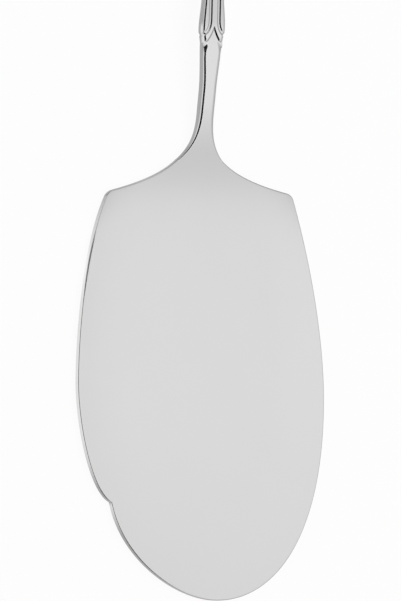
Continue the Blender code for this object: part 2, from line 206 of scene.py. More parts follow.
def power(name, watts, note):
    """A lamp's power."""
    return FloatProperty(name=name, description=note, default=watts, min=0.0, unit="POWER")


def tint(name, value, note):
    """A linear colour."""
    return FloatVectorProperty(name=name, description=note, default=value, min=0.0, max=1.0,
                               subtype="COLOR")


class BladeSizes(bpy.types.PropertyGroup):
    """Outline and section of the blade."""

    width: size("Width", 0.0765, "Across the widest points")
    length: size("Length", 0.11475, "From the tip to the shoulders")
    shoulder: pair("Shoulders", (0.0286, 0.0285), "Right and left shoulders' distances from the middle")
    shoulder_setback: size("Shoulder setback", 0.0017, "How far the shoulders' rounding reaches")
    droop: turns("Droop", (12.8, 14.6), "Fall of the right and left shoulders' tops")
    splay: turns("Splay", (16.2, 25.5), "Lean of the right and left sides at their shoulders")
    tip_offset: size("Tip offset", 0.0048, "The tip's distance to the right of the middle")
    widest: pair("Widest", (0.05715, 0.06115), "Stations of the right and left sides' widest points")
    notch_inset: size("Notch inset", 0.0104, "Depth of the notch from the widest line")
    notch_height: size("Notch height", 0.02745, "Station of the notch")
    notch_hook: turn("Notch hook", 28.5, "Rise of the edge that leaves the notch")
    lobe_lean: turn("Lobe lean", 12.0, "Lean of the lobe below the notch")
    thickness: size("Thickness", 0.0020, "Of the blade's floor")
    edge: size("Edge", 0.0004, "Rounding of the blade's edge")
    rub: pair("Rub", (0.0015, 0.00015), "Further rounding of the rubbed left edge, across and down")
    rub_station: size("Rub station", 0.0940, "Station where the left edge is most rubbed")
    rub_length: size("Rub length", 0.0110, "From there to where the rubbing dies out")
    dish_rise: size("Dish rise", 0.0009, "How far the margin stands above the floor")
    dish_fade: size("Dish fade", 0.0410, "Stretch up to the bend over which the dish dies out")
    dish_start: share("Dish start", 0.60, "Share of the way to the edge where the margin starts to rise")


class NeckSizes(bpy.types.PropertyGroup):
    """The neck, from the shoulders to the handle's mouth."""

    flare: size("Flare", 0.0254, "Length of the flare above the shoulders")
    length: size("Length", 0.0416, "From the shoulders to the handle's mouth")
    straight: size("Straight", 0.0035, "Length of even width above the flare")
    width: size("Width", 0.00455, "At the top of the flare")
    thickness: size("Thickness", 0.0032, "At the top of the flare")
    corner: pair("Corners", (0.00125, 0.00078), "Rounding's reach across the face and down the side")
    growth: pair("Corner growth", (0.0085, 0.0225), "Corners' start and full size, past the shoulders")
    under_corner: size("Under corner", 0.0006, "Rounding of the corners underneath")
    stop_setback: size("Stop setback", 0.0014, "From the mouth down to where the corners' rounding stops")
    stop_slant: size("Stop slant", 0.0026, "How much higher the rounding stops on the face than the side")
    stop_length: size("Stop length", 0.0005, "Length of the stop")
    stop_fade: size("Stop fade", 0.0030, "Stretch below the stop over which the corners widen")
    stop_width: size("Stop width", 0.0008, "How much wider the corners are at the stop")
    stop_corner: pair("Stop corners", (0.0003, 0.0005), "Corners' reach past the stop, across and down")
    mouth: pair("Mouth", (0.0059, 0.0028), "Width and thickness where the handle closes round the neck")
    swell: size("Swell", 0.0003, "Solder that fills the neck out under the lappets")
    swell_length: size("Swell length", 0.0050, "Stretch below the mouth over which the neck swells")
    bend_setback: size("Bend setback", 0.0092, "From the shoulders to the bend")
    bend_slope: share("Bend slope", 0.375, "Slope of the neck where it leaves the bend")


class HandleSizes(bpy.types.PropertyGroup):
    """The hollow handle's plain form."""

    length: size("Length", 0.10865, "From the mouth to the end")
    mouth_width: size("Mouth width", 0.0064, "At the mouth")
    knop_setback: size("Knop setback", 0.0043, "From the mouth to the reeds' fullest point")
    knop: pair("Knop", (0.0070, 0.0035), "Width and thickness at the reeds' fullest point")
    waist_setback: size("Waist setback", 0.0138, "From the mouth to the waist")
    waist: pair("Waist", (0.0059, 0.0031), "Width and thickness at the waist")
    broad: pair("Broad end", (0.0164, 0.0075), "Width and thickness where the rounded end starts")
    end_dome: size("End dome", 0.0200, "Length of the rounded end")
    crown: size("Crown", 0.0011, "Bulge of each face")
    mouth_corner: pair("Mouth corners", (0.0016, 0.0008), "Reach across the face and down the side")
    reed_corner: pair("Reed corners", (0.00105, 0.00050), "Reach across the face and down the side")
    broad_corner: pair("Broad corners", (0.0026, 0.0019), "Reach across the face and down the side")
    peak_setback: size("Peak setback", 0.0408, "From the mouth to the arch's highest point")
    peak_height: size("Peak height", 0.0109, "Height of the middle line at the arch's highest point")
    table_gap: size("Table gap", 0.0002, "Room under the handle's end")
    wall: size("Wall", 0.0008, "The shells' wall with the depth of their grooves")
    tang_room: size("Tang room", 0.00025, "Cement round the tang at the waist")
    mouth_bite: size("Mouth bite", 0.0002, "How deep the lappets are let into the solder on the neck")
    seam: size("Seam", 0.00005, "Width of the soldered seam's line")


class ReedSizes(bpy.types.PropertyGroup):
    """Reeds, grooves and lappets struck into the shells."""

    groove_width: size("Groove width", 0.00125, "Across each groove")
    groove_floor: size("Groove floor", 0.00025, "Across each groove's flat floor")
    groove_depth: size("Groove depth", 0.00020, "Of each groove")
    groove_inset: size("Groove inset", 0.00062, "From the face's edge to the groove's middle")
    tip_setback: size("Reed tip", 0.0023, "From the mouth to the groove round each reed's tip")
    tip_length: size("Reed tip length", 0.0049, "Length of each reed's rounded tip")
    tip_squareness: share("Tip squareness", 2.6, "2 is an ellipse, more is squarer")
    # Stretch over which the tips' polish and their lifted painted shade fade
    tip_polish_and_shade_lift: size("Tip polish", 0.0020, "Stretch above the knop over which the tips' polish fades")
    tongue: size("Tongue", 0.0038, "Length of the neck's pointed tongue between the lappets")
    tongue_curve: share("Tongue curve", 2.4, "1 is a straight point, more is hollower")
    lappet_place: size("Lappet place", 0.0032, "From mid-face round to each lappet's lowest point")
    lappet_rise: size("Lappet rise", 0.0003, "How far the lappets stand back at the seam")
    lappet_side: size("Lappet side", 0.00026, "How far the lappets' sides thin out at the mouth")
    lip: size("Lip", 0.00024, "Drop of the lappets' bevelled lip")
    lip_width: size("Lip width", 0.00045, "Width of the lappets' bevelled lip")


class SilverFinish(bpy.types.PropertyGroup):
    """Polished silver."""

    blade: tint("Blade silver", (0.90, 0.90, 0.90), "Clean polished silver of the forging")
    handle: tint("Handle silver", (0.95, 0.95, 0.95), "Brighter polished silver of the shells")
    # The tarnish colour also paints shade on the side walls and the lappets' lips
    tarnish: tint("Tarnish", (0.33, 0.33, 0.33), "Silver darkened in the grooves")
    # Tarnish on the grooves' flanks, and painted shade along the lappets' lips
    patina_and_lip_shade_share: share("Recess tarnish", 0.15, "How far the grooves' flanks are darkened")
    # Painted shade: how far the side walls are darkened
    wall_painted_shade: share("Side tarnish", 0.90, "How far the unpolished side walls are darkened")
    cloud_tarnish: share("Cloud tarnish", 0.02, "How far handling clouds the faces")
    roughness: share("Roughness", 0.13, "Of the polished faces")
    wear: share("Wear", 0.10, "Roughness that polishing lines and unpolished walls add")


class CementFinish(bpy.types.PropertyGroup):
    """Cement of the handle's core."""

    colour: tint("Cement", (0.36, 0.27, 0.18), "Set cement")
    dark: tint("Dark grains", (0.16, 0.12, 0.08), "Grains in the cement")
    roughness: share("Roughness", 0.85, "Of the cement")


class StudioSettings(bpy.types.PropertyGroup):
    """Table, light and camera."""

    floor: tint("Floor", (0.93, 0.93, 0.93), "Pale table top")
    floor_size: size("Floor size", 80.0, "Side of the table top")
    floor_glow: share("Floor glow", 0.92, "Share of plain white in the table top as it is seen")
    sky_low: share("Sky low", 0.30, "Brightness of the light tent at the horizon")
    sky_high: share("Sky high", 0.665, "Brightness of the light tent at its brightest place")
    sky_left: share("Sky left", 0.45, "Brightness that the tent's left side adds")
    sky_ends: share("Sky ends", 0.30, "Brightness that the tent's ends add low over tip and handle")
    strip: share("Strip", 0.22, "Brightness that a narrow strip overhead adds")
    tent_top: FloatVectorProperty(name="Tent top", description="Way to the light tent's brightest place",
                                  default=(0.285, -0.270, 0.920), precision=3, subtype="DIRECTION")
    box_glow: share("Softbox glow", 0.155, "Brightness that the softbox adds over the blade")
    box_height: size("Softbox height", 0.25, "Of the softbox above the table")
    box_across: pair("Softbox across", (0.0, 0.175), "The softbox's left and right edges")
    box_along: pair("Softbox along", (-0.42, -0.003), "The softbox's ends over the tip and the handle")
    box_fade: pair("Softbox fade", (-0.26, -0.06), "Where the softbox's glow starts and where it is full")
    fill: power("Fill", 46.0, "Soft overhead lamp")
    fill_size: size("Fill size", 2.5, "Side of the overhead lamp")
    fill_height: size("Fill height", 3.0, "Of the overhead lamp above the table")
    fill_right: size("Fill right", 0.4, "The overhead lamp's distance to the right")
    card_edges: turns("Card edges", (-1.0, 43.0), "Its upper and lower edge, from overhead to the left")
    card_reach: size("Card reach", 3.2, "The dark card's distance")
    card_ends: pair("Card ends", (-4.5, 1.6), "The dark card's ends past the tip and past the handle")
    card_fade: pair("Card fade", (0.25, 1.3), "Where the felt starts to pale and where it is palest")
    lean: turn("Camera lean", 25.0, "Lean of the view from overhead to the left")
    dip: turn("Camera dip", 2.0, "Lean of the view from overhead towards the tip")
    distance: size("Camera distance", 2.5, "From the camera to the spoon")
    view_height: size("View height", 0.16911, "Real height that the picture covers")
    aim: FloatVectorProperty(name="Aim", description="Point at the picture's middle",
                             default=(-0.00005, -0.0481, 0.0020), precision=5, subtype="TRANSLATION")


# Curves and sections

def mix(a, b, t):
    """Go from a to b as t goes from 0 to 1."""
    return a + (b - a) * t


def ramp(y, start, end):
    """Rise smoothly from 0 at start to 1 at end."""
    t = np.clip((y - start) / (end - start), 0.0, 1.0)
    return t * t * (3.0 - 2.0 * t)


def hermite(y, start, end):
    """Height at y on a cubic between two (station, height, slope) points."""
    span = end[0] - start[0]
    t = np.clip((y - start[0]) / span, 0.0, 1.0)
    leave = t * (1.0 - t) ** 2 * span * start[2]
    arrive = t * t * (t - 1.0) * span * end[2]
    return mix(start[1], end[1], ramp(y, start[0], end[0])) + leave + arrive


def spread(start, end, count, crowding=1.0):
    """Stations after start up to end, crowded towards start by a power above 1."""
    return mix(start, end, (np.arange(1, count + 1) / count) ** crowding)


def grown(section, clearance):
    """Section that lies the given clearance outside another."""
    return Section(*(value + clearance for value in section[:-1]), section.crown)


def inset(section, depth):
    """Section that lies the given depth inside another."""
    corner = [np.maximum(value - depth, value / 2) for value in (section.reach, section.drop)]
    return Section(section.half_width - depth, section.half_thickness - depth, *corner, section.crown)


class Spine:
    """The spoon's stations, its middle line and its plain sections."""

    def __init__(self, scene):
        self.blade = scene.spoon_blade
        self.neck = scene.spoon_neck
        self.handle = scene.spoon_handle
        self.neck_y = self.blade.length + self.neck.flare
        self.mouth_y = self.blade.length + self.neck.length
        self.bend_y = self.blade.length + self.neck.bend_setback
        self.knop_y = self.mouth_y + self.handle.knop_setback
        self.waist_y = self.mouth_y + self.handle.waist_setback
        self.peak_y = self.mouth_y + self.handle.peak_setback
        self.end_y = self.mouth_y + self.handle.length
        self.broad_y = self.end_y - self.handle.end_dome
        self.end_height = self.clear_end()

    def clear_end(self):
        """Height of the handle's end at which its underside just clears the table."""
        y = np.linspace(self.broad_y, self.end_y, CURVE_POINTS)
        drop = ramp(y, self.peak_y, self.end_y)
        lowest = self.handle_section(y).half_thickness + self.handle.table_gap
        return np.max((lowest - self.handle.peak_height * (1.0 - drop)) / drop)

    def height(self, y):
        """Height of the section's middle above the table at station y."""
        half = self.blade.thickness / 2
        bend = (self.bend_y, half, self.neck.bend_slope)
        peak = (self.peak_y, self.handle.peak_height, 0.0)
        end = (self.end_y, self.end_height, 0.0)
        return np.where(y <= self.peak_y, hermite(y, bend, peak), hermite(y, peak, end))

    def dome(self, y):
        """Share of the handle's full section left at y, an ellipse's quarter over the end."""
        reach = np.clip((y - self.broad_y) / self.handle.end_dome, 0.0, 1.0)
        return np.sqrt(1.0 - reach * reach)

    def handle_section(self, y):
        """Outside of the handle at station y, before its reeds."""
        handle = self.handle
        to_knop = ramp(y, self.mouth_y, self.knop_y)
        to_waist = ramp(y, self.knop_y, self.waist_y)
        to_broad = ramp(y, self.waist_y, self.broad_y)
        left = self.dome(y)
        full = (mix(handle.mouth_width, handle.knop[0], to_knop), handle.knop[1])
        half = [mix(mix(knop, waist, to_waist), broad, to_broad) / 2 * left
                for knop, waist, broad in zip(full, handle.waist, handle.broad)]
        corner = [mix(mix(mouth, reed, to_knop), broad, to_broad) * left for mouth, reed, broad
                  in zip(handle.mouth_corner, handle.reed_corner, handle.broad_corner)]
        return Section(*half, *corner, handle.crown * to_broad * left)

    def tang_section(self):
        """Tang that the waist of the handle leaves room for."""
        room = inset(self.handle_section(self.waist_y), self.handle.wall + self.handle.tang_room)
        corner = min(self.neck.corner[1], room.half_thickness / 2)
        return Section(room.half_width, room.half_thickness, corner, corner, 0.0)

    def neck_section(self, y):
        """The forging from the blade's root up to the tang inside the handle."""
        neck = self.neck
        tang = self.tang_section()
        to_mouth = ramp(y, self.neck_y + neck.straight, self.mouth_y)
        under_lappets = ramp(y, self.mouth_y, self.knop_y)
        to_tang = ramp(y, self.knop_y, self.waist_y)
        root = mix(self.blade.thickness, neck.thickness, ramp(y, self.bend_y, self.neck_y))
        swell = neck.swell * ramp(y, self.mouth_y - neck.swell_length, self.mouth_y)
        width = mix(neck.width, neck.mouth[0], to_mouth)
        thickness = mix(root, neck.mouth[1], to_mouth) + swell
        corner = [mix(stop, end, to_tang) for stop, end in zip(neck.stop_corner, (tang.reach, tang.drop))]
        return Section(mix(width / 2, tang.half_width, under_lappets),
                       mix(thickness / 2, tang.half_thickness, to_tang), *corner, 0.0 * y)

    def rubbed(self, y, hand):
        """How far the right (+1) or left (-1) edge is rubbed, which only the left one is, from 0 to 1."""
        from_middle = np.abs(y - self.blade.rub_station)
        return (1.0 - ramp(from_middle, 0.0, self.blade.rub_length)) * (hand < 0.0)

    def corner_growth(self, y):
        """Share of the way from the blade's edge to the neck's full corners."""
        start, full = (self.blade.length + reach for reach in self.neck.growth)
        return ramp(y, start, full)

    def corner(self, y, inward, rubbed):
        """Reach of the forging's upper corners across its face and down its side, at a share inward."""
        neck = self.neck
        stop_y = self.mouth_y - neck.stop_setback + neck.stop_slant * inward
        stopped = ramp(y, stop_y, stop_y + neck.stop_length)
        to_neck = self.corner_growth(y)
        section = self.neck_section(y)
        widened = neck.corner[0] + neck.stop_width * ramp(y, stop_y - neck.stop_fade, stop_y)
        edge = [self.blade.edge + rub * rubbed for rub in self.blade.rub]
        across = mix(mix(edge[0], widened, to_neck), section.reach, stopped)
        down = mix(mix(edge[1], neck.corner[1], to_neck), section.drop, stopped)
        return across, down

    def under_corner(self, y):
        """Rounding of the forging's lower corners."""
        outside = mix(self.blade.edge, self.neck.under_corner, self.corner_growth(y))
        return mix(outside, self.neck_section(y).drop, ramp(y, self.mouth_y, self.knop_y))

    def cavity_section(self, y):
        """Inside of the shells: close to the neck up to the waist, then inside their wall."""
        room = mix(-self.handle.mouth_bite, self.handle.tang_room, ramp(y, self.knop_y, self.waist_y))
        close = grown(self.neck_section(y), room)
        full = inset(self.handle_section(np.minimum(y, self.broad_y)), self.handle.wall)
        left = self.dome(y)
        return Section(*(np.where(y <= self.waist_y, near, far * left) for near, far in zip(close, full)))


# The forging: blade, neck and tang

def heading(angle, length):
    """Step of the given length at an angle from +X."""
    return Vector((math.cos(angle), math.sin(angle))) * length


def trace(knots):
    """Points along a chain of curves; each knot is (point, handle before, handle after)."""
    points = []
    for (start, _, leave), (end, arrive, _) in zip(knots, knots[1:]):
        points += interpolate_bezier(start, leave, arrive, end, CURVE_POINTS)[:-1]
    return np.array(points + [knots[-1][0]])


class Outline:
    """The forging's two edges, seen from above."""

    def __init__(self, spine):
        self.spine = spine
        self.blade = blade = spine.blade
        self.tip = Vector((blade.tip_offset, 0.0))
        right, left = (Side(*row) for row in zip((1.0, -1.0), blade.shoulder, blade.droop, blade.splay,
                                                 blade.widest, SIDE_FULLNESS, FLARE_FULLNESS))
        self.edges = [(1.0, self.right_edge(right)), (-1.0, self.left_edge(left))]

    def shoulder_knots(self, side, before):
        """Knots from a side's widest point round its shoulder and up the flare to the neck."""
        setback = self.blade.shoulder_setback
        widest = Vector((side.hand * self.blade.width / 2, side.widest))
        corner = Vector((side.hand * side.shoulder, self.blade.length))
        down = Vector((side.hand * math.sin(side.splay), -math.cos(side.splay)))
        inward = Vector((-side.hand * math.cos(side.droop), math.sin(side.droop)))
        side_end = corner + down * setback
        flare_end = corner + inward * setback
        neck = Vector((side.hand * self.spine.neck.width / 2, self.spine.neck_y))
        low_side, high_side = ((side_end.y - widest.y) * full for full in side.side_fullness)
        low_flare, high_flare = ((neck.y - flare_end.y) * full for full in side.flare_fullness)
        rounding = setback * CORNER_FULLNESS
        return [
            (widest, widest - Vector((0.0, before)), widest + Vector((0.0, low_side))),
            (side_end, side_end + down * high_side, side_end - down * rounding),
            (flare_end, flare_end - inward * rounding, flare_end + inward * low_flare),
            (neck, neck - Vector((0.0, high_flare)), None),
        ]

    def right_edge(self, side):
        """Right edge from the tip to the neck."""
        reach = (self.blade.width / 2 - self.tip.x) * TIP_FULLNESS[0]
        knots = self.shoulder_knots(side, side.widest * LOBE_FULLNESS[0])
        return trace([(self.tip, None, self.tip + Vector((reach, 0.0)))] + knots)

    def left_edge(self, side):
        """Left edge from the tip, past the notch, to the neck."""
        blade = self.blade
        notch = Vector((blade.notch_inset - blade.width / 2, blade.notch_height))
        belly = side.widest - blade.notch_height
        tip_handle = self.tip - Vector(((self.tip.x - notch.x) * TIP_FULLNESS[1], 0.0))
        lobe = heading(blade.lobe_lean - math.pi / 2, blade.notch_height * LOBE_FULLNESS[1])
        hook = heading(math.pi - blade.notch_hook, belly * HOOK_FULLNESS)
        knots = self.shoulder_knots(side, belly * BELLY_FULLNESS)
        return trace([(self.tip, None, tip_handle), (notch, notch + lobe, notch + hook)] + knots)

    def at(self, stations):
        """Each edge's places, its unit steps into the blade and its rubbing at the given stations."""
        section = self.spine.neck_section(stations)
        on_blade = (stations <= self.spine.neck_y)[:, None]
        sides = []
        for hand, edge in self.edges:
            along = np.gradient(edge, axis=0)
            along[0] = (hand, 0.0)
            inward = np.column_stack((-along[:, 1], along[:, 0])) * hand
            inward /= np.linalg.norm(inward, axis=1)[:, None]
            place, step = (np.column_stack([np.interp(stations, edge[:, 1], row) for row in rows.T])
                           for rows in (edge, inward))
            neck_place = np.column_stack((hand * section.half_width, stations))
            place = np.where(on_blade, place, neck_place)
            step = np.where(on_blade, step / np.linalg.norm(step, axis=1)[:, None], (-hand, 0.0))
            sides.append((place, step, self.spine.rubbed(stations, hand)))
        return sides

    def stations(self):
        """Stations of the forging's sections, close together where the outline turns."""
        blade, spine = self.blade, self.spine
        hook_end = mix(blade.notch_height, blade.widest[1], HOOK_SHARE)
        corner_start = blade.length - 2.0 * blade.shoulder_setback
        corner_end = blade.length + blade.shoulder_setback / 2
        stop_start = spine.mouth_y - spine.neck.stop_setback
        stop_end = stop_start + spine.neck.stop_slant + spine.neck.stop_length
        return np.concatenate([
            [0.0],
            spread(0.0, blade.notch_height, LOBE_STEPS, END_CROWDING),
            spread(blade.notch_height, hook_end, HOOK_STEPS, END_CROWDING),
            spread(hook_end, corner_start, SIDE_STEPS),
            spread(corner_start, corner_end, SHOULDER_STEPS),
            spread(corner_end, spine.bend_y, ROOT_STEPS),
            spread(spine.bend_y, spine.neck_y, FLARE_STEPS),
            spread(spine.neck_y, stop_start, NECK_STEPS),
            spread(stop_start, stop_end, STOP_STEPS),
            spread(stop_end, spine.waist_y, TONGUE_STEPS),
            spread(spine.waist_y, TANG_END_Y, TANG_STEPS),
        ])


def rim(spine, stations, place, inward, rubbed):
    """Rows of points round an edge from below, as (x, y, height), and each point's satin and painted
    shade.
    """
    angles = np.linspace(0.0, math.pi / 2, EDGE_STEPS + 1)
    inner = 1.0 - np.cos(angles)
    half = spine.neck_section(stations).half_thickness[:, None]
    under = spine.under_corner(stations)[:, None]

    def quarter(reach, drop, face):
        """Rows of points from the side round the upper (+1) or lower (-1) corner."""
        across = place[:, None, :] + inward[:, None, :] * (reach * inner)[:, :, None]
        height = face * (half - drop * (1.0 - np.sin(angles)))
        return np.concatenate((across, height[:, :, None]), axis=2)

    upper = quarter(*spine.corner(stations[:, None], inner, rubbed[:, None]), 1.0)
    lower = quarter(under, under, -1.0)[:, ::-1]
    at_end = ramp(np.abs(inward[:, 1:]), *END_FACING)
    limits = [mix(wall, end, at_end) for wall, end in zip(WALL_ANGLES, END_ANGLES)]
    on_neck = ramp(stations, spine.blade.length, spine.bend_y)[:, None]
    # Satin and painted shade on the side walls: most where they face along the spoon, full on the neck,
    # less on the rubbed edge
    plain = SIDE_SATIN_AND_SHADE * (1.0 - rubbed[:, None])
    dull = np.maximum(mix(plain, END_SATIN_AND_SHADE, at_end), on_neck) * (1.0 - ramp(angles, *limits))
    return np.concatenate((lower, upper), axis=1), np.concatenate((dull[:, ::-1], dull), axis=1)


def face_between(start, end):
    """Rows of points strictly between two rows of points."""
    shares = (np.arange(1, FLOOR_STEPS) / FLOOR_STEPS)[None, :, None]
    return mix(start[:, None], end[:, None], shares)


def dish_lift(blade, fade_end, x, y):
    """How far the margin stands above the blade's floor at a point."""
    bowl_y = sum(blade.widest) / 2
    up = np.clip((y - bowl_y) / (blade.length - bowl_y), 0.0, 1.0)
    down = np.maximum((bowl_y - y) / bowl_y, 0.0)
    half_width = mix(blade.width, sum(blade.shoulder), up * up) / 2
    outward = np.hypot(x / half_width, down)
    margin = np.maximum(outward - blade.dish_start, 0.0) / (1.0 - blade.dish_start)
    return blade.dish_rise * margin ** 2 * (1.0 - ramp(y, fade_end - blade.dish_fade, fade_end))


def forging(spine):
    """The blade with its neck and tang, closed at the tang's end."""
    outline = Outline(spine)
    stations = outline.stations()
    rims = [rim(spine, stations, *edge) for edge in outline.at(stations)]
    right, right_dull = rims[0]
    left, left_dull = (rows[:, ::-1] for rows in rims[1])
    rings = np.concatenate((right, face_between(right[:, -1], left[:, 0]),
                            left, face_between(left[:, -1], right[:, 0])), axis=1)
    x, y, height = np.moveaxis(rings, 2, 0)
    middle = spine.height(stations)[:, None]
    lift = dish_lift(spine.blade, spine.bend_y, x, y)
    points = np.stack((x, y + TIP_Y, middle + height + lift), axis=2)
    polished = np.zeros((len(stations), FLOOR_STEPS - 1))
    dull = np.concatenate((right_dull, polished, left_dull, polished), axis=1)
    return lofted("spoon_blade", points, {"wall_satin_and_shade": dull, "patina_and_lip_shade": 0.0 * dull}, hollow=False)


# The handle's two half shells

class Strike:
    """Relief that the dies strike into the shells."""

    def __init__(self, scene, spine):
        self.spine = spine
        self.reed = scene.spoon_reed
        waist = self.half_section(spine.handle_section(np.array([[spine.waist_y]])))
        self.rib = float(waist.flat[0, 0]) - self.reed.groove_inset
        broad = spine.handle_section(np.array(spine.broad_y))
        self.border = float(broad.reach) + self.reed.groove_inset
        self.broad_half = float(broad.half_width)

    @staticmethod
    def columns():
        """Each column's hand, climb up the side, turn round the corner and place on the face."""
        side = np.arange(SHELL_SIDE_STEPS) / SHELL_SIDE_STEPS
        corner = np.arange(SHELL_CORNER_STEPS) / SHELL_CORNER_STEPS * math.pi / 2
        face = 1.0 - np.arange(SHELL_FACE_STEPS) / SHELL_FACE_STEPS
        past_side = np.ones(len(corner) + len(face))
        climb = np.concatenate((side, past_side, [1.0]))
        angle = np.concatenate((0.0 * side, corner, np.full(len(face) + 1, math.pi / 2)))
        place = np.concatenate((np.ones(len(side) + len(corner)), face, [0.0]))
        hand = np.ones(len(climb))
        mirrored = [np.concatenate((row, row[-2::-1])) for row in (climb, angle, place)]
        return np.concatenate((hand, -hand[1:])), *mirrored

    def half_section(self, section):
        """Upper half of rounded sections: places, heights, outward steps and paths from mid-face."""
        hand, climb, angle, place = self.columns()
        shoulder = section.half_thickness - section.crown
        reach = np.minimum(section.reach, section.half_width)
        drop = np.minimum(section.drop, shoulder)
        flat = section.half_width - reach
        x = hand * (flat * place + reach * np.cos(angle))
        height = (shoulder - drop) * climb + drop * np.sin(angle)
        bulge = 1.0 - (x / np.maximum(section.half_width, TINY)) ** 2
        height = height + section.crown * bulge * height / np.maximum(shoulder, TINY)
        arc = (reach + drop) / 2
        path = flat * place + arc * (math.pi / 2 - angle) + (shoulder - drop) * (1.0 - climb)
        side_path = flat + arc * math.pi / 2 + shoulder - drop
        step_x, step_height = drop * np.cos(angle), reach * np.sin(angle)
        length = np.maximum(np.hypot(step_x, step_height), TINY)
        plain = 0.0 * x
        return Half(x, height, hand * step_x / length, step_height / length, path, side_path + plain,
                    flat + plain, 1.0 - ramp(angle, *WALL_ANGLES) + plain)

    def mouth_offset(self):
        """How far each column's lower end stands back from the mouth: lappets with a tongue between."""
        reed = self.reed
        offset = np.zeros((1, 1))
        for _ in range(MOUTH_ROUNDS):
            half = self.half_section(self.spine.handle_section(self.spine.mouth_y + offset))
            inward = np.maximum(1.0 - half.path / reed.lappet_place, 0.0)
            beyond = np.maximum(half.path - reed.lappet_place, 0.0)
            outward = beyond / (half.side_path - reed.lappet_place)
            offset = reed.tongue * inward ** reed.tongue_curve + reed.lappet_rise * outward ** 2
        return offset

    def inside_reed(self, half, y):
        """Signed distance into the reeds from the middle of the groove round them."""
        spine, reed = self.spine, self.reed
        groove = np.where(y <= spine.waist_y, self.rib, half.flat - reed.groove_inset)
        turn_y = spine.mouth_y + reed.tip_setback + reed.tip_length
        across = np.maximum((half.side_path - half.path) / (half.side_path - groove), 0.0)
        along = np.maximum((turn_y - y) / reed.tip_length, 0.0)
        order = reed.tip_squareness
        radius = np.maximum((across ** order + along ** order) ** (1.0 / order), TINY)
        slope_across = (across / radius) ** (order - 1.0) / (half.side_path - groove)
        slope_along = (along / radius) ** (order - 1.0) / reed.tip_length
        beside = (1.0 - radius) / np.maximum(np.hypot(slope_across, slope_along), TINY)
        end_across = half.x / self.broad_half
        end_along = np.maximum(y - spine.broad_y, 0.0) / spine.handle.end_dome
        end_radius = np.maximum(np.hypot(end_across, end_along), TINY)
        end_slope = np.hypot(end_across / self.broad_half, end_along / spine.handle.end_dome) / end_radius
        at_end = self.border - (1.0 - end_radius) / np.maximum(end_slope, TINY)
        return np.where(y <= spine.broad_y, beside, at_end)

    def relief(self, half, y, mouth):
        """Height of the struck surface over the plain section, its tarnish with painted shade on the
        lappets' lips, and its polish, which lifts the wall's satin and painted shade.
        """
        spine, reed = self.spine, self.reed
        inside = self.inside_reed(half, y)
        half_groove = reed.groove_width / 2
        groove = 1.0 - ramp(np.abs(inside), reed.groove_floor / 2, half_groove)
        lappet = 1.0 - ramp(inside, -half_groove, half_groove)
        at_mouth = 1.0 - ramp(y, spine.mouth_y, spine.knop_y)
        thinned = lappet * reed.lappet_side * half.step_x ** 2 * at_mouth
        steepness = np.hypot(1.0, np.gradient(mouth[0], half.path[0] * np.sign(half.x[0])))
        lip = np.maximum(1.0 - (y - mouth) / (reed.lip_width * steepness), 0.0)
        lift = -reed.groove_depth * groove - thinned - reed.lip * half.step_height * lip
        # 1 halfway down a groove's flank, 0 on its floor and past its rim
        flank = 4.0 * groove * (1.0 - groove)
        # Tarnish on a groove's flank, and painted shade along the lappets' lips on the face
        tarnish = flank + LIP_PAINTED_SHADE * lip ** 2 * (1.0 - half.side)
        # Polish on the lappets and reed tips, which lifts the wall's satin and painted shade
        tip = 1.0 - ramp(y, spine.knop_y, spine.knop_y + reed.tip_polish_and_shade_lift)
        return lift, tarnish, TIP_SATIN_AND_SHADE_LOSS * np.maximum(lappet, tip)


def shell_stations(spine):
    """Stations of the shells' sections from the mouth to the end."""
    dome = np.sin(np.linspace(0.0, math.pi / 2, DOME_STEPS + 1))[1:]
    return np.concatenate([
        [spine.mouth_y],
        spread(spine.mouth_y, spine.waist_y, LAPPET_STEPS),
        spread(spine.waist_y, spine.broad_y, GRIP_STEPS),
        spine.broad_y + spine.handle.end_dome * dome,
    ])


def half_shell(name, face, scene, spine):
    """One struck half of the handle, front (+1) or back (-1), closed along its mouth and seam."""
    strike = Strike(scene, spine)
    stations = shell_stations(spine)[:, None]
    y = stations + strike.mouth_offset() * (1.0 - ramp(stations, spine.mouth_y, spine.waist_y))
    half = strike.half_section(spine.handle_section(y))
    lift, tarnish, polish_and_shade_lift = strike.relief(half, y, y[:1])
    # Satin and painted shade on the side walls, lifted on the front shell's lappets and reed tips
    wall = half.side * (1.0 - polish_and_shade_lift * (face > 0.0))
    x = half.x + half.step_x * lift
    height = np.maximum(half.height + half.step_height * lift, 0.0)
    inner = strike.half_section(spine.cavity_section(y))
    inner_share = 1.0 - spine.handle.wall / spine.handle.end_dome
    inner_y = np.where(y <= spine.broad_y, y, mix(spine.broad_y, y, inner_share))
    half_seam = spine.handle.seam / 2
    outside, inside = (
        np.stack((across, along + TIP_Y, spine.height(along) + face * (up + half_seam)), axis=2)
        for across, along, up in ((x, y, height), (inner.x, inner_y, inner.height)))
    rings = np.concatenate((outside, inside[:, ::-1]), axis=1)
    marks = {mark: np.concatenate((values, 0.0 * values), axis=1)
             for mark, values in (("wall_satin_and_shade", wall), ("patina_and_lip_shade", tarnish))}
    return lofted(name, rings, marks, hollow=True)


